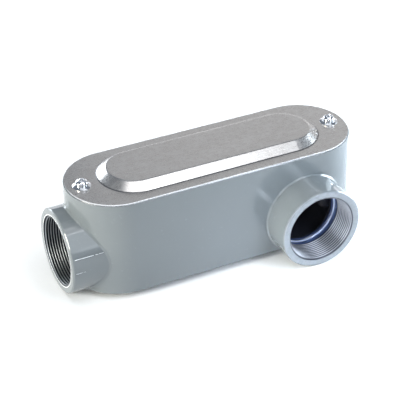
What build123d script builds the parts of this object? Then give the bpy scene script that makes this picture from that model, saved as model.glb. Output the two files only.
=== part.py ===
from build123d import *

import os
from math import atan, cos, degrees, hypot, radians, sin, tan

os.makedirs("parts", exist_ok=True)

# Frame: the origin is the centre of the end hub's mouth, +X runs into the body along that hub's axis,
# the side hub leaves along -Y, both hub axes lie in the plane Z = 0 and the cover is on top. Millimetres.

# Hubs, for two inch conduit thread
thread_root_diameter = 60.1
thread_length = 27.4
hub_wall = 5.95
bushing_step = 3.8
bushing_thickness = 4.4
bushing_nose_radius = 2.2
bushing_nose_flats = 3
bushing_flare = 1.3
mouth_edge_chamfer = 0.9
hub_root_chamfer = 1.2

# Body casting, with its widest outline at the parting plane through the hub axes
parting_length = 253.8
parting_width = 84.2
outside_draft = 0.4
wall = 4.0
floor_thickness = 4.0
pocket_draft = 0.7
pocket_floor_chamfer = 1.5
seat_height = 54.1
hub_below_back = 4.0
back_edge_chamfer = 2.2
end_hub_projection = 11.3
side_hub_projection = 27.3
side_hub_past_flat = 0.49
run_out_length = 20.0

# Cover, a stamped sheet with a raised panel
cover_margin = 0.72
sheet = 1.5
panel_end_margin = 27.5
panel_side_margin = 9.8
panel_rise = 6.1
panel_slope_run = 7.7
panel_shoulder_radius = 2.4
panel_foot_chamfer = 0.6

# Gasket, sunk flush in a rebate of the rim
gasket_thickness = 1.0
rim_lip = 1.6
gasket_clearance = 0.2
gasket_band = 7.5
gasket_end_band = 21.0

# Cover screws and washers
screw_inset = 13.22
screw_diameter = 4.8
screw_clearance = 0.6
screw_reach = 14.0
tapped_depth = 17.0
boss_diameter = 12.0
boss_web_width = 9.0
boss_sink = 1.0
head_diameter = 9.4
head_height = 3.8
head_rim_height = 0.9
head_crown_diameter = 5.6
recess_length = 6.0
recess_width = 1.5
recess_depth = 2.2
washer_diameter = 14.8
washer_clearance = 0.5
washer_thickness = 1.2

# Derived sizes and places
hub_diameter = thread_root_diameter + 2 * hub_wall
throat_diameter = thread_root_diameter - 2 * bushing_step
back_depth = hub_diameter / 2 - hub_below_back
centre_x = end_hub_projection + parting_length / 2
hub_half_chord = (hub_below_back * (hub_diameter - hub_below_back)) ** 0.5
side_hub_x = centre_x + (parting_length - parting_width) / 2 + side_hub_past_flat - hub_half_chord
side_mouth_y = -(parting_width / 2 + side_hub_projection)
seat_shrink = seat_height * tan(radians(outside_draft))
seat_length = parting_length - 2 * seat_shrink
seat_width = parting_width - 2 * seat_shrink
floor_height = floor_thickness - back_depth
rebate_height = seat_height - gasket_thickness
rebate_length = seat_length - 2 * rim_lip
rebate_width = seat_width - 2 * rim_lip
cover_top = seat_height + sheet
cover_length = seat_length - 2 * cover_margin
cover_width = seat_width - 2 * cover_margin
panel_length = cover_length - 2 * panel_end_margin
panel_width = cover_width - 2 * panel_side_margin
screw_spacing = seat_length - 2 * screw_inset
washer_hole_diameter = screw_diameter + washer_clearance
screw_places = [centre_x - screw_spacing / 2, centre_x + screw_spacing / 2]
hub_end_x = thread_length + bushing_thickness
centred_up = Plane(origin=(centre_x, 0, 0), x_dir=(1, 0, 0), z_dir=(0, 0, 1))
centred_down = Plane(origin=(centre_x, 0, 0), x_dir=(1, 0, 0), z_dir=(0, 0, -1))
side_mouth = Plane(origin=(side_hub_x, side_mouth_y, 0), x_dir=(1, 0, 0), z_dir=(0, 1, 0))
side_wall = Plane(origin=(side_hub_x, -parting_width / 2 + 2 * wall, 0), x_dir=(1, 0, 0), z_dir=(0, 1, 0))

# Outside of the casting, drafted both ways from the parting plane
with BuildPart() as blank:
    with BuildSketch(centred_up):
        SlotOverall(parting_length, parting_width)
    extrude(amount=seat_height, taper=outside_draft)
    with BuildSketch(centred_down):
        SlotOverall(parting_length, parting_width)
    extrude(amount=back_depth, taper=outside_draft)

# Strip that the chamfer of the back edge takes off
with BuildPart() as eased:
    add(blank.part)
    chamfer(eased.faces().sort_by(Axis.Z)[0].edges(), back_edge_chamfer)

with BuildPart() as strip:
    add(blank.part)
    add(eased.part, mode=Mode.SUBTRACT)

# Hub barrels, each fading out under the back of the body
with BuildPart() as end_barrel:
    with BuildSketch(Plane.YZ):
        Circle(hub_diameter / 2)
    extrude(amount=hub_end_x)
    chamfer(end_barrel.faces().sort_by(Axis.X)[0].edges(), mouth_edge_chamfer)

with BuildPart() as end_run_out:
    with BuildSketch(Plane.YZ.offset(hub_end_x)):
        Circle(hub_diameter / 2)
    extrude(amount=run_out_length, taper=degrees(atan(hub_below_back / run_out_length)))

with BuildPart() as side_barrel:
    with BuildSketch(side_mouth):
        Circle(hub_diameter / 2)
    extrude(amount=side_hub_projection + 2 * wall)
    chamfer(side_barrel.faces().sort_by(Axis.Y)[0].edges(), mouth_edge_chamfer)

with BuildPart() as side_run_out:
    with BuildSketch(side_wall):
        Circle(hub_diameter / 2)
    extrude(amount=run_out_length, taper=degrees(atan(hub_below_back / run_out_length)))

# Wiring pocket, drafted so that its core lifts out through the cover opening
with BuildPart() as pocket:
    with BuildSketch(Plane(origin=(centre_x, 0, seat_height), x_dir=(1, 0, 0), z_dir=(0, 0, -1))):
        SlotOverall(seat_length - 2 * wall, seat_width - 2 * wall)
    extrude(amount=seat_height - floor_height, taper=pocket_draft)
    chamfer(pocket.faces().sort_by(Axis.Z)[0].edges(), pocket_floor_chamfer)

# Screw bosses, each with a web to the end wall, reaching down to the hub barrel or the floor
with BuildPart() as bosses:
    with BuildSketch(Plane.XY.offset(floor_height - boss_sink)):
        with Locations((screw_places[1], 0)):
            Circle(boss_diameter / 2)
        with Locations((centre_x + seat_length / 2 - wall - boss_diameter / 4, 0)):
            Rectangle(boss_diameter, boss_web_width)
    extrude(amount=rebate_height - floor_height + boss_sink)
    with BuildSketch(Plane.XY.offset(thread_root_diameter / 2 + boss_sink)):
        with Locations((screw_places[0], 0)):
            Circle(boss_diameter / 2)
        with Locations((centre_x - seat_length / 2 + wall + boss_diameter / 4, 0)):
            Rectangle(boss_diameter, boss_web_width)
    extrude(amount=rebate_height - thread_root_diameter / 2 - boss_sink)

# Bore, the space that one revolved profile clears from the mouth past the rounded bushing and its flare
with BuildPart() as bore:
    nose_r = throat_diameter / 2 + bushing_nose_radius
    nose_z = thread_length + bushing_nose_radius
    turns = [radians(90 * step / bushing_nose_flats) for step in range(bushing_nose_flats + 1)]
    nose = [(nose_r - bushing_nose_radius * sin(a), nose_z - bushing_nose_radius * cos(a)) for a in turns]
    with BuildSketch(Plane.XZ):
        with BuildLine():
            Polyline(
                (0, 0),
                (thread_root_diameter / 2, 0),
                (thread_root_diameter / 2, thread_length),
                *nose,
                (throat_diameter / 2, hub_end_x - bushing_flare),
                (throat_diameter / 2 + bushing_flare, hub_end_x),
                (throat_diameter / 2 + bushing_flare, hub_end_x + wall),
                (0, hub_end_x + wall),
                close=True,
            )
        make_face()
    revolve(axis=Axis.Z)


# Test that the root selectors use
def on_barrel(edge, across):
    """True where the whole edge lies on a hub barrel; across gives an edge point's place over the axis."""
    spots = [across(edge @ t) for t in (0, 0.3, 0.7, 1)]
    return all(abs(hypot(u, v) - hub_diameter / 2) < 0.01 for u, v in spots)


# Outside with the barrels blended into the body, its back edge eased, the fade-outs added under the back
with BuildPart() as outside:
    add(blank.part)
    add(end_barrel.part)
    add(side_barrel.part)
    curved = outside.edges().filter_by(lambda e: e.geom_type not in (GeomType.LINE, GeomType.CIRCLE))
    end_root = curved.filter_by(lambda e: on_barrel(e, lambda p: (p.Y, p.Z)))
    side_root = curved.filter_by(lambda e: on_barrel(e, lambda p: (p.X - side_hub_x, p.Z)))
    chamfer(end_root + side_root, hub_root_chamfer)
    add(strip.part, mode=Mode.SUBTRACT)
    add(end_barrel.part)
    add(side_barrel.part)
    add(end_run_out.part)
    add(side_run_out.part)

# Conduit body, one casting with both hubs and their rounded bushings
with BuildPart() as conduit_body:
    add(outside.part)
    add(pocket.part, mode=Mode.SUBTRACT)
    add(end_barrel.part)
    add(bosses.part)
    with BuildSketch(Plane(origin=(centre_x, 0, rebate_height), x_dir=(1, 0, 0), z_dir=(0, 0, 1))):
        SlotOverall(rebate_length, rebate_width)
    extrude(amount=gasket_thickness, mode=Mode.SUBTRACT)
    with Locations(Plane.YZ, side_mouth):
        add(bore.part, mode=Mode.SUBTRACT)
    with BuildSketch(Plane.XY.offset(rebate_height)):
        with Locations(*[(x, 0) for x in screw_places]):
            Circle(screw_diameter / 2)
    extrude(amount=-tapped_depth, mode=Mode.SUBTRACT)
conduit_body.part.label = "conduit_body"
export_step(conduit_body.part, "parts/conduit_body.step")

# Gasket, a flat ring with wide ends round the screws
with BuildPart() as gasket:
    with BuildSketch(Plane(origin=(centre_x, 0, rebate_height), x_dir=(1, 0, 0), z_dir=(0, 0, 1))):
        SlotOverall(rebate_length - 2 * gasket_clearance, rebate_width - 2 * gasket_clearance)
        window_length = rebate_length - 2 * gasket_end_band
        window_width = rebate_width - 2 * gasket_band
        SlotOverall(window_length, window_width, mode=Mode.SUBTRACT)
        with Locations((-screw_spacing / 2, 0), (screw_spacing / 2, 0)):
            Circle((screw_diameter + screw_clearance) / 2, mode=Mode.SUBTRACT)
    extrude(amount=gasket_thickness)
gasket.part.label = "gasket"
export_step(gasket.part, "parts/gasket.step")

# Cover, one stamped sheet whose raised panel keeps the sheet's thickness up the slope
bend_shift = sheet * tan(atan(panel_rise / panel_slope_run) / 2)
slope_angle = degrees(atan(panel_slope_run / panel_rise))

with BuildPart() as panel_outer:
    with BuildSketch(Plane(origin=(centre_x, 0, cover_top), x_dir=(1, 0, 0), z_dir=(0, 0, 1))):
        SlotOverall(panel_length, panel_width)
    extrude(amount=panel_rise, taper=slope_angle)

with BuildPart() as panel_inner:
    with BuildSketch(Plane(origin=(centre_x, 0, seat_height), x_dir=(1, 0, 0), z_dir=(0, 0, 1))):
        SlotOverall(panel_length - 2 * bend_shift, panel_width - 2 * bend_shift)
    extrude(amount=panel_rise, taper=slope_angle)
    chamfer(panel_inner.faces().sort_by(Axis.Z)[-1].edges(), (panel_shoulder_radius - sheet) / 2)

with BuildPart() as cover:
    with BuildSketch(Plane(origin=(centre_x, 0, seat_height), x_dir=(1, 0, 0), z_dir=(0, 0, 1))):
        SlotOverall(cover_length, cover_width)
    extrude(amount=sheet)
    add(panel_outer.part)
    shoulder = cover.faces().sort_by(Axis.Z)[-1].edges()
    fillet(shoulder, panel_shoulder_radius)
    top_face = cover.faces().filter_by(Axis.Z).filter_by(lambda f: abs(f.center().Z - cover_top) < 0.01)[0]
    chamfer(top_face.inner_wires()[0].edges(), panel_foot_chamfer)
    add(panel_inner.part, mode=Mode.SUBTRACT)
    under_face = cover.faces().filter_by(Axis.Z).sort_by(Axis.Z)[0]
    chamfer(under_face.inner_wires()[0].edges(), panel_foot_chamfer)
    with BuildSketch(Plane(origin=(centre_x, 0, seat_height), x_dir=(1, 0, 0), z_dir=(0, 0, 1))):
        with Locations((-screw_spacing / 2, 0), (screw_spacing / 2, 0)):
            Circle((screw_diameter + screw_clearance) / 2)
    extrude(amount=sheet, mode=Mode.SUBTRACT)
cover.part.label = "cover"
export_step(cover.part, "parts/cover.step")

# Washers and screws, each with a raised head, a cross recess and a shank that reaches into its boss
head_base = cover_top + washer_thickness
shank_length = washer_thickness + sheet + gasket_thickness + screw_reach

for name, x in zip(["end", "far"], screw_places):
    with BuildPart() as washer:
        with BuildSketch(Plane(origin=(x, 0, cover_top), x_dir=(1, 0, 0), z_dir=(0, 0, 1))):
            Circle(washer_diameter / 2)
            Circle(washer_hole_diameter / 2, mode=Mode.SUBTRACT)
        extrude(amount=washer_thickness)
    washer.part.label = f"washer_{name}"
    export_step(washer.part, f"parts/washer_{name}.step")

    with BuildPart() as screw:
        with BuildSketch(Plane(origin=(x, 0, head_base), x_dir=(1, 0, 0), z_dir=(0, -1, 0))):
            with BuildLine():
                low = Line((0, 0), (head_diameter / 2, 0))
                rim = Line(low @ 1, (head_diameter / 2, head_rim_height))
                slope = Line(rim @ 1, (head_crown_diameter / 2, head_height))
                crown = Line(slope @ 1, (0, head_height))
                Line(crown @ 1, (0, 0))
            make_face()
        revolve(axis=Axis((x, 0, 0), (0, 0, 1)))
        with BuildSketch(Plane(origin=(x, 0, head_base + head_height), x_dir=(1, 0, 0), z_dir=(0, 0, -1))):
            Rectangle(recess_length, recess_width)
            Rectangle(recess_width, recess_length)
        extrude(amount=recess_depth, mode=Mode.SUBTRACT)
        with BuildSketch(Plane(origin=(x, 0, head_base), x_dir=(1, 0, 0), z_dir=(0, 0, -1))):
            Circle(screw_diameter / 2)
        extrude(amount=shank_length)
    screw.part.label = f"screw_{name}"
    export_step(screw.part, f"parts/screw_{name}.step")
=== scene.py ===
# %% [markdown]
# # A conduit body, dressed for its picture
# A conduit body is the box where a run of electrical conduit turns or branches. This one is a
# painted die casting with a threaded hub at one end, a second hub on its side, and a stamped
# metal cover held by two screws. The solids come ready from the CAD frame. This lesson adds what
# CAD leaves out: the fine threads, the detailed fasteners, the finishes, the light and the
# camera.

from math import cos, pi, radians, sin, sqrt

import bmesh
import bpy
from mathutils import Matrix, Vector


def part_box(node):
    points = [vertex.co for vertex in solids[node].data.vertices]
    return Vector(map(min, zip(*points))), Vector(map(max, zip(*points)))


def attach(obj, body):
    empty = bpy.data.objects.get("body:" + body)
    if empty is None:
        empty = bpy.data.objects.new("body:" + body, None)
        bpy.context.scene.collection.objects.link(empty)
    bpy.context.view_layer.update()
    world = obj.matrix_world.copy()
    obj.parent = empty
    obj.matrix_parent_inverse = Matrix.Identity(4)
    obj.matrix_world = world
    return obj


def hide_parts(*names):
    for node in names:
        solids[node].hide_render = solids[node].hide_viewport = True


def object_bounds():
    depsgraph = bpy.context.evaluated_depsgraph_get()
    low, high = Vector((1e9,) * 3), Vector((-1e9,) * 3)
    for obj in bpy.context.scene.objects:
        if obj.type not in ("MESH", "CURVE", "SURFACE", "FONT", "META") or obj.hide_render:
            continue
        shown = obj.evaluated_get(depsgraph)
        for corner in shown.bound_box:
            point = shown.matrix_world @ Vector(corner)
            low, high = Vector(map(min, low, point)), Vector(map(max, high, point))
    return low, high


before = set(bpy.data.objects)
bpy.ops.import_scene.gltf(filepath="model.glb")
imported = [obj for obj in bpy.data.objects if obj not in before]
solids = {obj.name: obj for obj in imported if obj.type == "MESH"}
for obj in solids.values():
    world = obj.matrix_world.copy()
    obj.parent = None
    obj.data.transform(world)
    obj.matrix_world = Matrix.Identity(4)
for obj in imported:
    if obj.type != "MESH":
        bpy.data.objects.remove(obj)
cad_low, cad_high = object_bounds()
print("solids:", ", ".join(sorted(solids)))
print("size in mm:", [round(1000 * (b - a), 1) for a, b in zip(cad_low, cad_high)])

# %% [markdown]
# ## Measures
# The frame's origin is the centre of the end hub's mouth. The end hub's axis runs along +X into
# the body, the side hub leaves along -Y, and the cover is on top. Blender works in metres, so one
# constant turns the millimetres of a drawing into scene units.

# %% Measures shared by the cells below
MM = 0.001
INCH = 25.4 * MM
FULL_TURN = 2 * pi
body_middle = Vector((0.138, -0.01, 0.02))
thread_pitch = INCH / 11.5
thread_length = 27.4 * MM
thread_root = 30.05 * MM
thread_height = 1.72 * MM
taper_run = 32.0  # one in sixteen on the diameter is one in 32 on the radius
side_hub_mouth = Vector((0.2070, -0.0694, 0.0))
seat_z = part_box("cover")[0].z
sheet = 1.5 * MM
washer_low, washer_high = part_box("washer_end")
screw_low, screw_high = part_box("screw_end")
fastener_x = [(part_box(n)[0].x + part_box(n)[1].x) / 2 for n in ("screw_end", "screw_far")]
print("screws at x =", [round(1000 * x, 2) for x in fastener_x], "mm")

# %% [markdown]
# ## The camera
# A camera is a place, three directions and a focal length. These were found by fitting the
# outlines of the cover, the body and both mouths to the photograph, so the view needs no shift.
# The three directions become the columns of the camera's matrix: its right, its up, and the way
# back from the subject, because a camera looks along its own -Z.

# %% Place the camera
camera_data = bpy.data.cameras.new("photograph")
camera_data.sensor_width = 36
camera_data.lens = 129.63
camera_data.clip_start = 0.05
camera_data.clip_end = 20
camera = bpy.data.objects.new("photograph", camera_data)
bpy.context.scene.collection.objects.link(camera)
right = Vector((0.8976, -0.44074, -0.00766))
up = Vector((0.24662, 0.48769, 0.83746))
back = Vector((-0.36537, -0.7536, 0.54644))
turned = Matrix((right, up, back)).transposed().to_4x4()
camera.matrix_world = Matrix.Translation(Vector((-0.31162, -0.90920, 0.67056))) @ turned
bpy.context.scene.camera = camera
print("camera", round((camera.location - body_middle).length, 3), "m from the body")

# %% [markdown]
# ## Writing node trees
# Materials and Geometry Nodes are both graphs, and a graph is long to write link by link. Two
# small classes shorten it. A Bench holds a tree and adds one node at a time, with its settings
# and its inputs in one call. A Value wraps a number's socket, so that plain arithmetic on it adds
# the Math nodes.

# %% A value that does arithmetic
class Value:
    """A number's socket in a node tree. Each operation adds one Math node and gives a new Value."""

    def __init__(self, bench, socket):
        self.bench = bench
        self.socket = socket

    def _made(self, operation, *terms):
        return self.bench.value("ShaderNodeMath", dict(enumerate(terms)), operation=operation)

    def __add__(self, other):
        return self._made("ADD", self, other)

    def __radd__(self, other):
        return self._made("ADD", other, self)

    def __sub__(self, other):
        return self._made("SUBTRACT", self, other)

    def __rsub__(self, other):
        return self._made("SUBTRACT", other, self)

    def __mul__(self, other):
        return self._made("MULTIPLY", self, other)

    def __rmul__(self, other):
        return self._made("MULTIPLY", other, self)

    def __truediv__(self, other):
        return self._made("DIVIDE", self, other)

    def __rtruediv__(self, other):
        return self._made("DIVIDE", other, self)

    def __abs__(self):
        return self._made("ABSOLUTE", self)

    def __gt__(self, other):
        return self._made("GREATER_THAN", self, other)

    def __lt__(self, other):
        return self._made("LESS_THAN", self, other)

    def root(self):
        return self._made("SQRT", self)

    def sine(self):
        return self._made("SINE", self)

    def cosine(self):
        return self._made("COSINE", self)

    def fraction(self):
        return self._made("FRACT", self)

    def power(self, other):
        return self._made("POWER", self, other)

    def at_least(self, other):
        return self._made("MAXIMUM", self, other)

    def at_most(self, other):
        return self._made("MINIMUM", self, other)

    def ramp(self, low, high):
        """0 below low, 1 above high, with a soft rise between."""
        node = self.bench.node(
            "ShaderNodeMapRange",
            {"Value": self, "From Min": low, "From Max": high},
            interpolation_type="SMOOTHSTEP",
        )
        return Value(self.bench, node.outputs["Result"])


print("arithmetic on a Value adds Math nodes")


# %% A bench that adds nodes
class Bench:
    """A node tree under construction."""

    def __init__(self, tree):
        self.tree = tree

    def node(self, kind, inputs=(), **settings):
        """Adds a node, sets it, and fills its inputs with numbers, colours, sockets or Values."""
        made = self.tree.nodes.new(kind)
        for name, setting in settings.items():
            setattr(made, name, setting)
        for name, given in dict(inputs).items():
            if isinstance(given, Value):
                given = given.socket
            if isinstance(given, bpy.types.NodeSocket):
                self.tree.links.new(given, made.inputs[name])
            else:
                made.inputs[name].default_value = given
        return made

    def value(self, kind, inputs=(), **settings):
        """Adds a node and gives its first output as a Value."""
        return Value(self, self.node(kind, inputs, **settings).outputs[0])

    def axes(self, vector):
        """The three numbers of a vector's socket, as Values."""
        split = self.node("ShaderNodeSeparateXYZ", {0: vector})
        return [Value(self, out) for out in split.outputs]


print("a Bench adds a node, a value or a vector's three axes")

# %% [markdown]
# ## Finishes
# Every finish starts the same way: a material with one Principled shader, and the object's own
# coordinates in metres, so that a grain of a known size stays that size. What never changes over
# a surface is set on the shader's socket. What varies is a pattern joined to its colour,
# roughness or bump.

# %% Start a finish
def finish_bench(name, **constants):
    """A new material on object coordinates: (material, bench, shader, position)."""
    material = bpy.data.materials.new(name)
    material.use_nodes = True
    material.node_tree.nodes.clear()
    bench = Bench(material.node_tree)
    shader = bench.node("ShaderNodeBsdfPrincipled", constants)
    bench.node("ShaderNodeOutputMaterial", {"Surface": shader.outputs[0]})
    position = bench.node("ShaderNodeTexCoord").outputs["Object"]
    return material, bench, shader, position


def grain(bench, position, size, detail=2.0, stretch=(1, 1, 1), roughness=0.5):
    """Noise of features about size metres wide, longer along an axis where stretch is above 1."""
    scaled = bench.node(
        "ShaderNodeVectorMath",
        {0: position, 1: tuple(1 / (size * s) for s in stretch)},
        operation="MULTIPLY",
    )
    return bench.value(
        "ShaderNodeTexNoise",
        {"Vector": scaled.outputs[0], "Scale": 1.0, "Detail": detail, "Roughness": roughness},
    )


def blend_colours(bench, amount, first, second):
    """Mixes two colours by an amount from 0 to 1 and gives the result's socket."""
    mixed = bench.node(
        "ShaderNodeMix",
        {0: amount, 6: first, 7: second},
        data_type="RGBA",
        clamp_factor=True,
    )
    return mixed.outputs[2]


def bump(bench, height, distance, strength=1.0, below=None):
    """A bump of the given depth in metres, on top of another bump if one is given."""
    inputs = {"Height": height, "Distance": distance, "Strength": strength}
    if below is not None:
        inputs["Normal"] = below
    return bench.node("ShaderNodeBump", inputs).outputs[0]


def coat(bench, shader, colour, roughness, normal):
    """Joins what varies over a surface to its shader: a colour, a roughness Value and a bump."""
    varying = {"Base Color": colour, "Roughness": roughness.socket, "Normal": normal}
    for name, socket in varying.items():
        bench.tree.links.new(socket, shader.inputs[name])
    print("a finish of", len(bench.tree.nodes), "nodes")


print("finishes read object coordinates in metres")

# %% [markdown]
# ## Grey enamel on a die casting
# Sprayed enamel is glossy but never flat: it has a faint orange peel a millimetre or two across,
# and the casting under it swells and dips over a few centimetres. Inside the body the colour is
# painted nearly black as shade, and the finish there is duller. The faces of the hub mouths are
# painted paler as the light they catch, the side hub's fully and the end hub's only faintly, and
# the end hub's inner lip is painted bright, as bare metal and as the highlight on its edge. Each
# of these regions is found from the position alone: the distance from a hub's axis tells a
# mouth's face from the barrel around it, and the distance from the body's spine tells the inside
# from the walls.

# %% Where a place is, for any finish
SPINE_MIDDLE = 138.2 * MM
COVER_SPINE = 84.8 * MM
PANEL_SPINE = 67.1 * MM
SIDE_HUB_REACH = 34 * MM


def hub_fields(bench, position):
    """(distance from the end hub's axis, depth behind its mouth, the same two for the side hub)."""
    x, y, z = bench.axes(position)
    aside = x - side_hub_mouth.x
    return (y * y + z * z).root(), x, (aside * aside + z * z).root(), y - side_hub_mouth.y


def nearest_hub(bench, position):
    """(distance from the axis, depth behind the mouth, 1 in the side hub) in a place's own hub."""
    end_distance, end_depth, side_distance, side_depth = hub_fields(bench, position)
    in_side_hub = side_depth < SIDE_HUB_REACH
    distance = end_distance + in_side_hub * (side_distance - end_distance)
    depth = end_depth + in_side_hub * (side_depth - end_depth)
    return distance, depth, in_side_hub


def from_spine(x, y, half_length):
    """Distance from a straight spine along X, which is the same all round a round-ended outline."""
    beyond = (abs(x - SPINE_MIDDLE) - half_length).at_least(0.0)
    return (beyond * beyond + y * y).root()


print("spines in mm:", [round(2000 * half, 1) for half in (COVER_SPINE, PANEL_SPINE)])

# %% Enamel: the colour of the walls
ENAMEL_IOR = 1.6
enamel, bench, shader, position = finish_bench("grey enamel", IOR=ENAMEL_IOR)
x, y, z = bench.axes(position)
end_distance, end_depth, side_distance, side_depth = hub_fields(bench, position)
cloud = grain(bench, position, 45 * MM, detail=1.0)
speck = grain(bench, position, 3.5 * MM, detail=3.0)
body_colour = blend_colours(bench, cloud, (0.150, 0.170, 0.182, 1), (0.172, 0.192, 0.202, 1))
pale_speck = speck.ramp(0.62, 0.78) * 0.12
body_colour = blend_colours(bench, pale_speck, body_colour, (0.34, 0.37, 0.39, 1))
print("enamel has its wall colour")

# %% Enamel: the mouths, painted paler as lit faces
face_depth = 0.3 * MM
hub_rim = 35.5 * MM
lip_edge = 30.7 * MM
end_face = (end_depth < face_depth) * (end_distance < hub_rim)
side_face = (side_depth < face_depth) * (side_distance < hub_rim)
# The mouth faces are painted paler as the light they catch, with a mottle in that painted light.
face_light_mottle = 0.75 + 0.25 * speck.ramp(0.35, 0.6)
painted_light_on_mouths = (0.08 * end_face + side_face).at_most(1.0) * face_light_mottle
surface_colour = blend_colours(bench, painted_light_on_mouths, body_colour, (0.25, 0.275, 0.305, 1))
# The end hub's inner lip is painted bright: bare metal, and a painted highlight on its edge.
lip = (end_depth < face_depth) * (end_distance < lip_edge)
surface_colour = blend_colours(bench, lip, surface_colour, (0.78, 0.81, 0.84, 1))
print("mouth faces out to", round(1000 * hub_rim, 1), "mm")

# %% Enamel: the inside, painted dark as shade
bore_radius = 31 * MM
bore_start = 0.5 * MM
end_bore_length = 60 * MM
side_bore_length = 40 * MM
chamber_half_width = 38.9 * MM
chamber_floor = -29 * MM
end_bore = (end_distance < bore_radius) * (end_depth > bore_start) * (end_depth < end_bore_length)
side_bore = (side_distance < bore_radius) * (side_depth > bore_start)
side_bore = side_bore * (side_depth < side_bore_length)
chamber = (from_spine(x, y, COVER_SPINE) < chamber_half_width) * (z > chamber_floor)
inside = (end_bore + side_bore + chamber).at_most(1.0)
# The bores and the chamber are painted nearly black as shade.
colour = blend_colours(bench, inside, surface_colour, (0.016, 0.018, 0.028, 1))
print("inside of the body from z =", round(1000 * chamber_floor, 1), "mm")

# %% Enamel: gloss, orange peel and the rounded mouths
face_middle = 33 * MM
face_half_width = 3 * MM
gloss = 0.07 + 0.05 * grain(bench, position, 12 * MM, detail=2.0) + 0.4 * inside
peel = bump(bench, grain(bench, position, 2.2 * MM, detail=1.0), 0.02 * MM, 0.4)
swell = bump(bench, grain(bench, position, 30 * MM, detail=1.0), 0.3 * MM, 0.4, below=peel)
end_crown = (end_distance - face_middle) / face_half_width
side_crown = (side_distance - face_middle) / face_half_width
crown = (1.0 - end_crown * end_crown) * end_face + (1.0 - side_crown * side_crown) * side_face
rounded = bump(bench, crown, 0.5 * MM, 1.0, below=swell)
coat(bench, shader, colour, gloss, rounded)

# %% [markdown]
# ## Satin sheet for the cover
# The cover is stamped from rolled sheet. Rolling leaves fine streaks along the sheet, and
# handling and tumbling leave soft mottling across them. Both show mostly as roughness: a streak
# doesn't change the metal's colour, it changes how widely a reflection spreads. The sheared edge
# all round is painted brighter than the face, partly as fresh cut metal and partly as a painted
# highlight, and a dark line of painted shade lies at the foot of the raised panel.

# %% Make the satin sheet
panel_foot = 31.3 * MM
sheared_edge = 40.85 * MM
sheet_top = seat_z + sheet + 0.1 * MM
satin, bench, shader, position = finish_bench("satin sheet", Metallic=1.0)
x, y, z = bench.axes(position)
mottle = grain(bench, position, 4.5 * MM, detail=4.0, roughness=0.6)
streak = grain(bench, position, 0.35 * MM, detail=2.0, stretch=(60, 1, 1))
smear = grain(bench, position, 30 * MM, detail=2.0, stretch=(2.5, 1, 1))
tone = (0.5 * mottle + 0.3 * streak + 0.2 * smear).ramp(0.3, 0.7)
metal = blend_colours(bench, tone, (0.54, 0.515, 0.495, 1), (0.66, 0.64, 0.62, 1))
# A dark line is painted along the foot of the raised panel, as the shade in that fold.
crease_shade = abs(from_spine(x, y, PANEL_SPINE) - panel_foot).ramp(0.7 * MM, 0.25 * MM)
metal = blend_colours(bench, 0.75 * crease_shade, metal, (0.08, 0.08, 0.09, 1))
# The sheared edge is painted brighter: fresh cut metal, and a painted highlight along the edge.
sheared_and_lit_edge = (from_spine(x, y, COVER_SPINE) > sheared_edge) * (z < sheet_top)
metal = blend_colours(bench, sheared_and_lit_edge, metal, (0.78, 0.78, 0.80, 1))
spread = 0.20 + 0.08 * mottle + 0.08 * streak
fine = bump(bench, streak, 0.01 * MM, 0.35)
soft = bump(bench, smear, 0.12 * MM, 0.35, below=fine)
coat(bench, shader, metal, spread, soft)

# %% [markdown]
# ## Bright plate, cut threads, bare casting and rubber
# Plated screws and washers are the brightest metal here, nearly mirrors with a faint ripple. A
# cut thread is bare metal, bright on the crests, and its grooves are painted dark as shade. The
# two hubs' threads get different colours, which stand in for the different light in each bore.
# The distance from a hub's axis, less the taper, tells a crest from a groove. The plain band
# behind the thread is painted dark blue as shade. The bushing behind it is painted pale blue as
# the light on its nose, with dark painted shade on either side of that lit ring. The mould line
# and the nibs are bare casting, painted nearly white, which also stands in for their highlights,
# and the gasket is black moulded rubber, matt and slightly uneven.

# %% Make the plated finish
plated, bench, shader, position = finish_bench("bright plate", Metallic=1.0)
ripple = grain(bench, position, 1.6 * MM, detail=2.0)
plate_colour = blend_colours(bench, ripple, (0.70, 0.71, 0.73, 1), (0.84, 0.85, 0.87, 1))
coat(bench, shader, plate_colour, 0.07 + 0.07 * ripple, bump(bench, ripple, 0.006 * MM, 0.3))

# %% Make the cut thread
groove_top = 0.60 * MM
crest_start = 1.50 * MM
band_start = 24.0 * MM
band_full = 24.8 * MM
cut_metal, bench, shader, position = finish_bench("cut thread", Metallic=0.85)
distance, depth, in_side_hub = nearest_hub(bench, position)
height = thread_root - depth / taper_run - distance
crest = height.ramp(groove_top, crest_start)
patch = grain(bench, position, 6 * MM, detail=3.0)
bright_cut = blend_colours(bench, patch, (0.34, 0.35, 0.40, 1), (0.48, 0.49, 0.52, 1))
# The grooves are painted dark as shade. Each hub's thread gets its own crest and groove colours,
# which stand in for the different light in each bore.
groove_shade = (0.030, 0.036, 0.050, 1)
groove_shade = blend_colours(bench, in_side_hub, groove_shade, (0.075, 0.080, 0.100, 1))
bright_cut = blend_colours(bench, in_side_hub, (0.30, 0.32, 0.34, 1), bright_cut)
cut_colour = blend_colours(bench, crest, groove_shade, bright_cut)
# The plain band behind the thread is painted dark blue as shade.
shaded_plain_band = depth.ramp(band_start, band_full)
cut_colour = blend_colours(bench, shaded_plain_band, cut_colour, (0.13, 0.18, 0.34, 1))
tool_marks = bump(bench, grain(bench, position, 0.8 * MM), 0.01 * MM, 0.5)
coat(bench, shader, cut_colour, 0.30 + 0.12 * patch, tool_marks)

# %% Make the bushings' enamel, with painted light and shade
nose_painted_light, bench, shader, position = finish_bench("nose enamel and painted light", IOR=ENAMEL_IOR)
nose_mottle = grain(bench, position, 4 * MM, detail=2.0)
# The nose is painted pale blue as the light it catches, with a mottle in that painted light.
nose_light_and_shade = blend_colours(bench, nose_mottle, (0.58, 0.66, 0.84, 1), (0.70, 0.78, 0.95, 1))
distance, _, _ = nearest_hub(bench, position)
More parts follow.
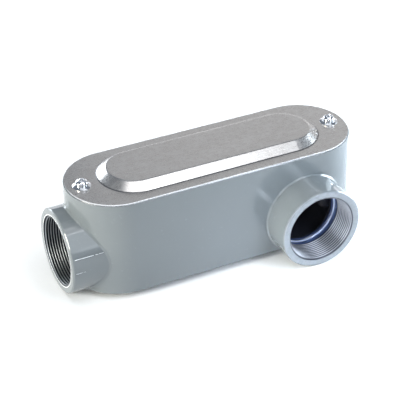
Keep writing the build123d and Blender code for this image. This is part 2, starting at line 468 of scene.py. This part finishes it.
# Only a ring on the nose's front stays pale. Inside and outside that ring the nose is painted dark
# as shade, down into the throat and out to the bore.
ring_inside = distance.ramp(27.2 * MM, 27.5 * MM)
ring_outside = distance.ramp(28.7 * MM, 29.0 * MM)
ring = ring_inside * (1.0 - ring_outside)
nose_light_and_shade = blend_colours(bench, ring, (0.05, 0.07, 0.14, 1), nose_light_and_shade)
coat(bench, shader, nose_light_and_shade, 0.15 + 0.1 * nose_mottle, bump(bench, nose_mottle, 0.03 * MM, 0.4))

# %% Make the bare casting, its near-white partly a painted highlight
bare_metal_and_glint, bench, shader, position = finish_bench("bare casting and glint", Metallic=0.2)
scrape = grain(bench, position, 1 * MM, detail=2.0)
# Nearly white: bare casting, and a painted highlight where the mould line and the nibs stand for
# bright spots.
bare_and_highlight_colour = blend_colours(bench, scrape, (0.74, 0.78, 0.82, 1), (0.93, 0.95, 0.98, 1))
coat(bench, shader, bare_and_highlight_colour, 0.25 + 0.2 * scrape, bump(bench, scrape, 0.02 * MM, 0.4))

# %% Make the rubber
rubber, bench, shader, position = finish_bench("black rubber", IOR=1.5)
crumb = grain(bench, position, 1.2 * MM, detail=3.0)
rubber_colour = blend_colours(bench, crumb, (0.012, 0.012, 0.013, 1), (0.03, 0.03, 0.031, 1))
coat(bench, shader, rubber_colour, 0.6 + 0.2 * crumb, bump(bench, crumb, 0.05 * MM, 0.4))

# %% [markdown]
# ## Dress the solids
# A CAD solid keeps its mesh and its place. Only what is in its material slots changes.

# %% Put the finishes on
dress = {
    "conduit_body": enamel,
    "cover": satin,
    "gasket": rubber,
    "washer_end": plated,
    "washer_far": plated,
    "screw_end": plated,
    "screw_far": plated,
}
for name, finish in dress.items():
    solid = solids[name]
    if not solid.material_slots:
        solid.data.materials.append(finish)
    for material_slot in solid.material_slots:
        material_slot.material = finish
print("dressed", len(dress), "solids")

# %% [markdown]
# ## Geometry Nodes, from script to plain mesh
# A thread repeats one shape along a path, which is what Geometry Nodes are for. Each tree below
# is built in code with named inputs for its sizes. One helper makes the tree, and another runs
# it: it sets the inputs by their sockets' identifiers, evaluates the object once, keeps the
# resulting mesh and drops the modifier.

# %% Helpers for Geometry Nodes
def start_tree(name, sizes):
    """A tree with an input for each size and a Material: (tree, bench, inputs, output node)."""
    tree = bpy.data.node_groups.new(name, "GeometryNodeTree")
    for label in sizes:
        tree.interface.new_socket(label, in_out="INPUT", socket_type="NodeSocketFloat")
    tree.interface.new_socket("Material", in_out="INPUT", socket_type="NodeSocketMaterial")
    tree.interface.new_socket("Geometry", in_out="OUTPUT", socket_type="NodeSocketGeometry")
    bench = Bench(tree)
    given = tree.nodes.new("NodeGroupInput")
    inputs = {out.name: Value(bench, out) for out in given.outputs if out.name}
    return tree, bench, inputs, tree.nodes.new("NodeGroupOutput")


def end_tree(bench, inputs, output, geometry):
    """Closes a tree with Realize Instances and Set Material."""
    real = bench.node("GeometryNodeRealizeInstances", {"Geometry": geometry})
    coated = bench.node(
        "GeometryNodeSetMaterial",
        {"Geometry": real.outputs[0], "Material": inputs["Material"]},
    )
    bench.tree.links.new(coated.outputs[0], output.inputs[0])


def run_tree(tree, name, sizes, material):
    """Runs a tree with these sizes and keeps its result as a plain mesh object of this name."""
    scratch = bpy.data.objects.new(name + ".scratch", bpy.data.meshes.new(name + ".scratch"))
    bpy.context.scene.collection.objects.link(scratch)
    modifier = scratch.modifiers.new("nodes", "NODES")
    modifier.node_group = tree
    given = dict(sizes, Material=material)
    for item in tree.interface.items_tree:
        if item.item_type == "SOCKET" and item.in_out == "INPUT":
            modifier[item.identifier] = given[item.name]
    evaluated = scratch.evaluated_get(bpy.context.evaluated_depsgraph_get())
    mesh = bpy.data.meshes.new_from_object(evaluated)
    bpy.data.objects.remove(scratch)
    mesh.name = name
    piece = bpy.data.objects.new(name, mesh)
    bpy.context.scene.collection.objects.link(piece)
    triangles = sum(len(face.vertices) - 2 for face in mesh.polygons)
    print(name, "has", triangles, "triangles")
    return piece


print("trees end in Realize Instances and Set Material")

# %% [markdown]
# ## Turned surfaces
# Threads, screw heads and washers are all turned: a radius and a height for every step around and
# every step along. So one small tool serves them all. It bends a flat grid whose X runs once
# around and whose Y counts the rows. Where rows meet, at the seam or at a pole, the doubled
# points are welded, which leaves a closed surface.

# %% Tools for turned surfaces
WELD = 0.0004 * MM


def flat_grid(bench, round_steps, rows):
    """A flat grid to bend: (grid, share of a turn from 0 to 1, row from 0 to rows)."""
    sizes = {"Size X": 1.0, "Size Y": float(rows)}
    counts = {"Vertices X": round_steps + 1, "Vertices Y": rows + 1}
    grid = bench.node("GeometryNodeMeshGrid", {**sizes, **counts})
    across, along, _ = bench.axes(bench.node("GeometryNodeInputPosition").outputs[0])
    return grid.outputs[0], across + 0.5, along + rows / 2


def bend(bench, grid, radius, share, height, outward=True):
    """Bends the grid round the Z axis, welds its doubled points and gives the closed surface."""
    angle = share * FULL_TURN
    place = bench.node(
        "ShaderNodeCombineXYZ",
        {0: radius * angle.cosine(), 1: radius * angle.sine(), 2: height},
    )
    bent = bench.node("GeometryNodeSetPosition", {"Geometry": grid, "Position": place.outputs[0]})
    welded = bench.node(
        "GeometryNodeMergeByDistance",
        {"Geometry": bent.outputs[0], "Distance": WELD},
    )
    surface = welded.outputs[0]
    if not outward:
        surface = bench.node("GeometryNodeFlipFaces", {"Mesh": surface}).outputs[0]
    return bench.node("GeometryNodeSetShadeSmooth", {"Geometry": surface}).outputs[0]


def placed(bench, geometry, turn=(0, 0, 0), spot=(0, 0, 0)):
    """The geometry turned and then moved."""
    if isinstance(spot, tuple) and any(isinstance(c, Value) for c in spot):
        spot = bench.node("ShaderNodeCombineXYZ", dict(enumerate(spot))).outputs[0]
    moved = bench.node(
        "GeometryNodeTransform",
        {"Geometry": geometry, "Rotation": turn, "Translation": spot},
    )
    return moved.outputs[0]


def joined(bench, *parts):
    """Several geometries as one."""
    node = bench.node("GeometryNodeJoinGeometry")
    for part in reversed(parts):
        bench.tree.links.new(part, node.inputs[0])
    return node.outputs[0]


def report_closed(piece):
    """Prints a piece's volume, which is negative when it is inside out, and its open edges."""
    shape = bmesh.new()
    shape.from_mesh(piece.data)
    volume = shape.calc_volume(signed=True)
    loose = sum(1 for edge in shape.edges if len(edge.link_faces) != 2)
    print(piece.name, "volume", round(volume / MM**3, 1), "mm3, edges without two faces:", loose)
    shape.free()


print("points closer than", WELD / MM, "mm are welded")

# %% [markdown]
# ## The conduit threads
# Two inch conduit thread has 11.5 threads to the inch, and it tapers by one in sixteen on the
# diameter. A helix could be swept with a V, but neighbouring turns then meet badly. Here the bent
# grid is sheared by one pitch per turn, so every row follows the helix and the two edges of the
# seam meet point to point. The first turn starts in a short chamfer at the mouth. The tap runs
# out before the bushing and leaves a plain band behind the thread. The last two rows turn back
# along the wall and close the liner, which is a thin sleeve in each hub.

# %% Build the thread tree
ROWS_PER_PITCH = 12
thread_turns = int(thread_length / thread_pitch) + 3
thread_rows = thread_turns * ROWS_PER_PITCH
flank = 0.62  # a slope above 0.5 leaves flats on crest and root
fade_length = 2.0 * MM
lead_in = 1.7  # how fast the chamfer at the mouth closes in
liner_wall = 0.05 * MM

liner_tree, bench, size, output = start_tree(
    "conduit thread",
    ["Pitch", "Length", "Threaded Length", "Root Radius", "Height", "Side Hub X", "Side Mouth Y"],
)
grid, share, row = flat_grid(bench, 128, thread_rows + 2)
advance = size["Pitch"] * (row / ROWS_PER_PITCH + share - 1.0)
depth = advance.at_least(0.0).at_most(size["Length"])
wave = 1.0 - 4.0 * abs((row / ROWS_PER_PITCH).fraction() - 0.5)
tooth = (0.5 + flank * wave).at_least(0.0).at_most(1.0)
run_out = 1.0 - depth.ramp(size["Threaded Length"] - fade_length, size["Threaded Length"])
tapered = size["Root Radius"] - depth / taper_run
threaded = tapered - size["Height"] * tooth * run_out
inner = threaded.at_least(size["Root Radius"] - lead_in * depth)

on_wall = row > thread_rows + 0.5
last_row = row > thread_rows + 1.5
wall_radius = size["Root Radius"] + liner_wall
radius = inner + on_wall * (wall_radius - inner) + last_row * (size["Root Radius"] - wall_radius)
height = depth + on_wall * (size["Length"] - depth) - last_row * size["Length"]
liner = bend(bench, grid, radius, share, height, outward=False)
end_liner = placed(bench, liner, turn=(0, pi / 2, 0))
side_spot = (size["Side Hub X"], size["Side Mouth Y"], 0.0)
side_liner = placed(bench, liner, turn=(-pi / 2, 0, 0), spot=side_spot)
end_tree(bench, size, output, joined(bench, end_liner, side_liner))
print("thread rows:", thread_rows)

# %% Cut the threads in both hubs
threads = run_tree(
    liner_tree,
    "hub_threads",
    {
        "Pitch": thread_pitch,
        "Length": thread_length,
        "Threaded Length": 24.2 * MM,
        "Root Radius": thread_root,
        "Height": thread_height,
        "Side Hub X": side_hub_mouth.x,
        "Side Mouth Y": side_hub_mouth.y,
    },
    cut_metal,
)
report_closed(threads)
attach(threads, "root")

# %% [markdown]
# ## Cover screws
# Each screw has a domed head with a cross recess and a fine thread on its shank. The head's
# height is a rule of two numbers, the dome minus the recess: each arm of the cross is as deep as
# its steep sides and its sloping floor allow, and the deeper of the two arms counts. The shank is
# the same helix as in the hubs, only finer and turned outwards. Both screws come from one head
# and one shank, set on two points, and each stops at its own turn.

# %% Set a piece at both screws
def at_both_screws(bench, size, piece, twist=(0, 0, 0)):
    """A geometry on the two screws' axes at the base height, turned by twist."""
    places = {}
    for end, label in (("Start Location", "First X"), ("Offset", "Second X")):
        place = bench.node("ShaderNodeCombineXYZ", {0: size[label], 2: size["Base Height"]})
        places[end] = place.outputs[0]
    spots = bench.node("GeometryNodeMeshLine", {"Count": 2, **places}, mode="END_POINTS")
    pair = bench.node(
        "GeometryNodeInstanceOnPoints",
        {"Points": spots.outputs[0], "Instance": piece, "Rotation": twist},
    )
    return pair.outputs[0]


print("a pair of screws shares one head and one shank")

# %% Measure the screws
DOME_ROWS = 34
SHANK_ROWS_PER_PITCH = 8
screw_pitch = INCH / 24
head_base = washer_high.z
head_height = screw_high.z - head_base
shank_length = head_base - screw_low.z
shank_turns = int(shank_length / screw_pitch) + 3
shank_rows = shank_turns * SHANK_ROWS_PER_PITCH
broken_edge = 0.2 * MM
recess_wall = 5.0  # steepness of the cross recess's sides
recess_floor = 1.1  # and of its floor, which falls towards the middle
sunk = 0.3 * MM  # how far the shank reaches up into the head
groove_depth = 0.42 * MM
groove_flank = 0.55
neck_start = 2.6 * MM
neck_full = 1.6 * MM
tip_radius = 1.5 * MM
first_twist = 0.33
twist_step = 0.08
print("shank", round(shank_length / MM, 2), "mm, head", round(head_height / MM, 2), "mm")

# %% Build the head
screw_tree, bench, size, output = start_tree(
    "cover screws",
    [
        "Head Radius",
        "Head Height",
        "Rim Height",
        "Recess Reach",
        "Recess Half Width",
        "Recess Depth",
        "Shank Radius",
        "Shank Length",
        "Pitch",
        "Base Height",
        "First X",
        "Second X",
    ],
)
grid, share, row = flat_grid(bench, 144, DOME_ROWS + 3)
lean = (row / DOME_ROWS).at_most(1.0) * (pi / 2)
dome_radius = size["Head Radius"] * lean.sine()
dome_height = size["Rim Height"] + (size["Head Height"] - size["Rim Height"]) * lean.cosine()
below_rim = row > DOME_ROWS + 0.5
under = row > DOME_ROWS + 1.5
centre = row > DOME_ROWS + 2.5
head_radius = (dome_radius - broken_edge * under) * (1.0 - centre)

turn = share * FULL_TURN
along_x = abs(dome_radius * turn.cosine())
along_y = abs(dome_radius * turn.sine())


def arm_depth(along, across):
    """How deep one arm of the cross is at a place along and across it."""
    side = (size["Recess Half Width"] - across) * recess_wall
    floor = (size["Recess Reach"] - along) * recess_floor
    return side.at_most(floor).at_most(size["Recess Depth"])


recess = arm_depth(along_x, along_y).at_least(arm_depth(along_y, along_x)).at_least(0.0)
head_top = dome_height - below_rim * (size["Rim Height"] - broken_edge) - under * broken_edge
head_top = head_top - recess * (1.0 - below_rim)
head = bend(bench, grid, head_radius, share, head_top, outward=False)
print("head:", DOME_ROWS, "rows from the pole to the rim")

# %% Build the shank and set both screws
grid, share, row = flat_grid(bench, 36, shank_rows)
advance = size["Pitch"] * ((row - 1.0) / SHANK_ROWS_PER_PITCH + share - 1.0)
risen = advance.at_least(0.0).at_most(size["Shank Length"] + sunk)
wave = 1.0 - 4.0 * abs((row / SHANK_ROWS_PER_PITCH).fraction() - 0.5)
groove = groove_depth * (0.5 - groove_flank * wave).at_least(0.0).at_most(1.0)
plain_neck = 1.0 - risen.ramp(size["Shank Length"] - neck_start, size["Shank Length"] - neck_full)
shank_radius = (size["Shank Radius"] - groove * plain_neck).at_most(tip_radius + risen)
inner_rows = (row > 0.5) * (row < shank_rows - 0.5)
shank = bend(bench, grid, shank_radius * inner_rows, share, risen - size["Shank Length"])

number = bench.value("GeometryNodeInputIndex")
twist = bench.node("ShaderNodeCombineXYZ", {2: first_twist - twist_step * number})
two_screws = at_both_screws(bench, size, joined(bench, head, shank), twist.outputs[0])
end_tree(bench, size, output, two_screws)
print("shank rows:", shank_rows)

# %% Turn both screws
screws = run_tree(
    screw_tree,
    "cover_screws",
    {
        "Head Radius": 5.1 * MM,
        "Head Height": head_height + 0.8 * MM,
        "Rim Height": 1.5 * MM,
        "Recess Reach": 3.1 * MM,
        "Recess Half Width": 0.72 * MM,
        "Recess Depth": 2.4 * MM,
        "Shank Radius": 2.38 * MM,
        "Shank Length": shank_length,
        "Pitch": screw_pitch,
        "Base Height": head_base,
        "First X": fastener_x[0],
        "Second X": fastener_x[1],
    },
    plated,
)
report_closed(screws)
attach(screws, "root")
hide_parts("screw_end", "screw_far")

# %% [markdown]
# ## Washers
# A thick plated washer is stamped and tumbled until its edges are round. Its section is a rounded
# rectangle, which a power of the cosine and the sine gives: a small power makes the corners
# tight, and a power of one would make an ellipse. Outside the head its top falls away towards the
# sheet, so that it shows as a bright sloping ring.

# %% Build the washer tree
SECTION_ROWS = 32
WIDE_POWER = 0.75
HIGH_POWER = 0.9
NEAR_ZERO = 0.001  # keeps a negative power of nothing out of the section
fall_start = 4.4 * MM
fall_share = 0.82
fall_curve = 1.7
washer_tree, bench, size, output = start_tree(
    "cover washers",
    ["Inner Radius", "Outer Radius", "Thickness", "Base Height", "First X", "Second X"],
)
grid, share, row = flat_grid(bench, 96, SECTION_ROWS)
turn = row * (FULL_TURN / SECTION_ROWS)


def squared(value, power):
    """A sine or cosine raised to a power, with its sign kept."""
    return value * abs(value).at_least(NEAR_ZERO).power(power - 1.0)


middle = (size["Inner Radius"] + size["Outer Radius"]) / 2
half_width = (size["Outer Radius"] - size["Inner Radius"]) / 2
half_height = size["Thickness"] / 2
section_radius = middle + half_width * squared(turn.cosine(), WIDE_POWER)
section_height = half_height + half_height * squared(turn.sine(), HIGH_POWER)
fall = ((section_radius - fall_start) / (size["Outer Radius"] - fall_start)).at_least(0.0)
fallen = section_height * (1.0 - fall_share * fall.power(fall_curve))
ring = bend(bench, grid, section_radius, share, fallen)
end_tree(bench, size, output, at_both_screws(bench, size, ring))

# %% Stamp both washers
washers = run_tree(
    washer_tree,
    "cover_washers",
    {
        "Inner Radius": 2.65 * MM,
        "Outer Radius": (washer_high.x - washer_low.x) / 2 + 0.2 * MM,
        "Thickness": washer_high.z - washer_low.z,
        "Base Height": washer_low.z,
        "First X": fastener_x[0],
        "Second X": fastener_x[1],
    },
    plated,
)
report_closed(washers)
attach(washers, "root")
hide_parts("washer_end", "washer_far")

# %% [markdown]
# ## Bushing noses
# Behind each thread the casting closes in to a smooth rounded shoulder, so that wires pulled
# through it aren't cut. CAD has that curve in three flats. A thin skin, a hair's breadth proud of
# the flats, makes it round. It isn't repeated or ruled by anything, so a plain lathe in mesh code
# is enough.

# %% Tools for turned and plain meshes
def lathe(profile, steps, placement):
    """Points of a closed profile (radius, height), turned about Z and placed: (points, faces)."""
    points = []
    faces = []
    for step in range(steps):
        angle = FULL_TURN * step / steps
        points += [placement @ Vector((r * cos(angle), r * sin(angle), h)) for r, h in profile]
    count = len(profile)
    for step in range(steps):
        here = step * count
        there = (step + 1) % steps * count
        for i in range(count):
            j = (i + 1) % count
            faces.append((here + i, here + j, there + j, there + i))
    return points, faces


def mesh_piece(name, points, faces, material):
    """A smooth mesh object from points and faces, its normals turned outwards."""
    mesh = bpy.data.meshes.new(name)
    mesh.from_pydata(points, [], faces)
    shape = bmesh.new()
    shape.from_mesh(mesh)
    bmesh.ops.recalc_face_normals(shape, faces=shape.faces)
    for face in shape.faces:
        face.smooth = True
    shape.to_mesh(mesh)
    shape.free()
    mesh.materials.append(material)
    piece = bpy.data.objects.new(name, mesh)
    bpy.context.scene.collection.objects.link(piece)
    return piece


print("a lathe for profiles in (radius, height)")

# %% Draw the nose's section
NOSE_STEPS = 12
nose_radius = 2.2 * MM
nose_middle = 28.45 * MM
proud = 0.03 * MM
skin_edge = 29.95 * MM
throat_end = thread_length + 2.9 * MM
buried = thread_length + 0.4 * MM
reach = nose_radius + proud
skin = [(skin_edge, thread_length - proud)]
for step in range(NOSE_STEPS + 1):
    lean = radians(90 * step / NOSE_STEPS)
    height = thread_length + nose_radius - reach * cos(lean)
    skin.append((nose_middle - reach * sin(lean), height))
skin += [
    (nose_middle - reach, throat_end),
    (nose_middle - nose_radius + 0.15 * MM, throat_end),
    (nose_middle + 0.1 * MM, buried),
    (skin_edge, buried),
]
print("nose section:", len(skin), "points")

# %% Turn a nose in each hub
LATHE_STEPS = 128
to_end_hub = Matrix.Rotation(pi / 2, 4, "Y")
to_side_hub = Matrix.Translation(side_hub_mouth) @ Matrix.Rotation(-pi / 2, 4, "X")
points, faces = lathe(skin, LATHE_STEPS, to_end_hub)
more_points, more_faces = lathe(skin, LATHE_STEPS, to_side_hub)
faces += [tuple(i + len(points) for i in face) for face in more_faces]
noses = mesh_piece("bushing_noses", points + more_points, faces, nose_painted_light)
report_closed(noses)
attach(noses, "root")

# %% [markdown]
# ## The mould line
# Where two halves of a die meet, a hairline of metal is left standing, and here a broken length
# of it shows on the end hub, with a short faint mark below. Each is a thin bead half sunk in the
# barrel. Two layers of noise along it make it thick and thin and let it vanish in places, and
# because noise of a position never changes, the line is the same on each run.

# %% Build the bead tree
BEAD_ROWS = 240
lump_size = 0.9 * MM
gap_size = 2.6 * MM
thinnest = 0.004 * MM
whole_share = 0.62  # the bead is unbroken up to about here
bead_tree, bench, size, output = start_tree(
    "mould line",
    ["Length", "Thickness", "Start X", "Y", "Z"],
)
grid, share, row = flat_grid(bench, 10, BEAD_ROWS)
run = size["Length"] * (row / BEAD_ROWS)
here = bench.node("ShaderNodeCombineXYZ", {0: run})
lumps = grain(bench, here.outputs[0], lump_size, detail=1.0)
unbroken = (whole_share - row / BEAD_ROWS).at_least(0.0)
gaps = (grain(bench, here.outputs[0], gap_size, detail=1.0) + unbroken).ramp(0.38, 0.50)
tapering = 1.25 - 0.6 * (row / BEAD_ROWS)
thickness = size["Thickness"] * (0.45 + 1.1 * lumps) * gaps * tapering
thickness = thickness.at_least(thinnest)
ends = (row > 0.5) * (row < BEAD_ROWS - 0.5)
bead = bend(bench, grid, thickness * ends, share, run)
laid = placed(bench, bead, turn=(0, pi / 2, 0), spot=(size["Start X"], size["Y"], size["Z"]))
end_tree(bench, size, output, laid)
print("bead rows:", BEAD_ROWS)

# %% Lay the mould line
# The bead's near-white colour is bare metal and also a painted highlight along the line.
line_height = 11.4 * MM
line_radius = 35.97 * MM
mould_line = run_tree(
    bead_tree,
    "mould_line",
    {
        "Length": 24.8 * MM,
        "Thickness": 0.24 * MM,
        "Start X": 2.7 * MM,
        "Y": -sqrt(line_radius**2 - line_height**2),
        "Z": line_height,
    },
    bare_metal_and_glint,
)
report_closed(mould_line)
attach(mould_line, "root")

# %% Lay a fainter mark below it
low_mark = run_tree(
    bead_tree,
    "mould_mark_low",
    {
        "Length": 8.0 * MM,
        "Thickness": 0.12 * MM,
        "Start X": 2.4 * MM,
        "Y": -line_radius,
        "Z": -0.9 * MM,
    },
    bare_metal_and_glint,
)
report_closed(low_mark)
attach(low_mark, "root")

# %% [markdown]
# ## Nibs in the casting
# A few pips of metal stand through the enamel, painted nearly white, partly as bare metal and
# partly as the highlights they stand for. Each is a low bead, pushed a little out of round by
# noise, and set on the surface it stands through.

# %% Build the nib tree
dent_size = 1.1 * MM
dent_reach = 0.4  # of the radius, half of it outwards and half inwards
nib_tree, bench, size, output = start_tree("casting nibs", ["Radius", "Flatness"])
centre_out = bench.node("GeometryNodeInputPosition").outputs[0]
flat = bench.node("ShaderNodeCombineXYZ", {0: 1.0, 1: 1.0, 2: size["Flatness"]}).outputs[0]
nib_spots = [
    # place in mm, the way the surface faces there, size
    ((222.1, -56.8, 32.7), (0.42, 0.0, 0.91), 1.0),
    ((229.7, -41.8, 28.0), (0.63, 0.0, 0.78), 0.6),
]
nibs = []
for spot, facing, share_of_size in nib_spots:
    ball = bench.node(
        "GeometryNodeMeshIcoSphere",
        {"Radius": size["Radius"] * share_of_size, "Subdivisions": 4},
    )
    lump = grain(bench, centre_out, dent_size, detail=1.0)
    pushed = bench.node(
        "ShaderNodeVectorMath",
        {0: centre_out, "Scale": dent_reach * lump - dent_reach / 2},
        operation="SCALE",
    )
    dented = bench.node(
        "GeometryNodeSetPosition",
        {"Geometry": ball.outputs[0], "Offset": pushed.outputs[0]},
    )
    smooth = bench.node("GeometryNodeSetShadeSmooth", {"Geometry": dented.outputs[0]})
    moved = bench.node(
        "GeometryNodeTransform",
        {
            "Geometry": smooth.outputs[0],
            "Scale": flat,
            "Rotation": tuple(Vector(facing).to_track_quat("Z", "Y").to_euler()),
            "Translation": tuple(c * MM for c in spot),
        },
    )
    nibs.append(moved.outputs[0])
end_tree(bench, size, output, joined(bench, *nibs))
print("nibs:", len(nibs))

# %% Set the nibs
nib_sizes = {"Radius": 1.0 * MM, "Flatness": 0.4}
casting_nibs = run_tree(nib_tree, "casting_nibs", nib_sizes, bare_metal_and_glint)
report_closed(casting_nibs)
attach(casting_nibs, "root")

# %% [markdown]
# ## Floor and light
# A pale seamless floor fills the view, because the camera looks down on it. Bright metal and
# enamel show whatever stands around them, so the light is built from ten soft cards: a key high
# in front, which the near slope of the cover's panel mirrors, a warm lamp on the left, a cool one
# on the right, and cards above, in front and behind, each in a place that some face of the body
# mirrors. The upright walls mirror only the floor, so two small gridded lamps brighten the floor
# close to the front wall and under the side hub. A faint bluish world fills the rest.

# %% Lay the floor
floor_z = cad_low.z
bpy.ops.mesh.primitive_plane_add(size=8, location=(0.14, 0.0, floor_z))
floor = bpy.context.object
floor.name = "floor"
floor_paper, bench, shader, position = finish_bench("white paper", Roughness=0.9)
fibre = grain(bench, position, 4 * MM, detail=2.0)
paper = blend_colours(bench, fibre, (0.90, 0.90, 0.90, 1), (0.93, 0.93, 0.93, 1))
bench.tree.links.new(paper, shader.inputs["Base Color"])
floor.data.materials.append(floor_paper)
print("floor at z =", round(1000 * floor_z, 2), "mm")

# %% Hang the lamps
def soft_lamp(name, towards, distance, width, height, power, colour, aim=body_middle, spread=180):
    """An area lamp towards a side of what it is aimed at, its beam held to a spread in degrees."""
    data = bpy.data.lights.new(name, "AREA")
    data.spread = radians(spread)
    data.shape = "RECTANGLE"
    data.size = width
    data.size_y = height
    data.energy = power
    data.color = colour
    lamp = bpy.data.objects.new(name, data)
    away = Vector(towards).normalized()
    lamp.location = Vector(aim) + away * distance
    lamp.rotation_euler = away.to_track_quat("Z", "Y").to_euler()
    bpy.context.scene.collection.objects.link(lamp)
    print(name, "at", [round(c, 2) for c in lamp.location])


lamps = [
    # name, the way to it, distance, width and height in m, power in W, colour, aim, spread
    ("key", (0.27, -0.69, 0.67), 1.3, 0.5, 1.24, 5.8, (0.87, 0.94, 1.0)),
    ("top card", (0.0, -0.24, 0.96), 1.3, 1.35, 0.46, 4.6, (0.97, 0.98, 1.0)),
    ("back left card", (-0.28, 0.93, 0.24), 1.0, 0.5, 0.5, 4.8, (0.86, 0.93, 1.0)),
    ("left lamp", (-0.98, -0.07, 0.21), 2.0, 0.7, 1.2, 66.0, (1.0, 0.97, 0.86)),
    ("right lamp", (0.985, -0.16, 0.05), 0.5, 0.25, 0.40, 5.3, (0.80, 0.91, 1.0)),
    ("back card", (0.66, 0.68, 0.32), 1.3, 1.3, 1.2, 2.3, (1.0, 0.97, 0.93)),
    ("horizon strip", (0.30, 0.95, 0.03), 1.5, 2.0, 0.3, 3.2, (0.97, 0.96, 1.0)),
    ("front card", (0.14, -0.94, 0.25), 1.3, 0.7, 0.4, 0.6, (0.84, 0.92, 1.0)),
    ("front left card", (-0.50, -0.60, 0.62), 1.2, 0.6, 0.4, 1.0, (0.95, 0.97, 1.0)),
    ("gridded lamp", (0.356, -0.686, 0.633), 0.38, 0.1, 0.1, 0.022, (0.76, 0.86, 1.0),
     (0.15, -0.04, -0.035), 38),
    ("low gridded lamp", (-0.62, -0.77, 0.16), 0.45, 0.1, 0.1, 0.045, (0.80, 0.88, 1.0),
     (0.195, -0.06, -0.035), 32),
    ("zenith card", (0.12, 0.12, 0.98), 1.3, 0.8, 0.4, 0.9, (0.96, 0.98, 1.0)),
]
for lamp in lamps:
    soft_lamp(*lamp)

# %% Give the world its faint sky
world = bpy.data.worlds.new("studio")
bpy.context.scene.world = world
world.use_nodes = True
world.node_tree.nodes.clear()
bench = Bench(world.node_tree)
sky = bench.node("ShaderNodeBackground", {"Color": (0.73, 0.84, 1.0, 1), "Strength": 0.28})
bench.node("ShaderNodeOutputWorld", {"Surface": sky.outputs[0]})
print("world:", world.name)

# %% [markdown]
# ## Settle the scene
# The view transform stays Standard, so a colour comes out about as it is written.

# %% Finish
bpy.context.scene.view_settings.view_transform = "Standard"
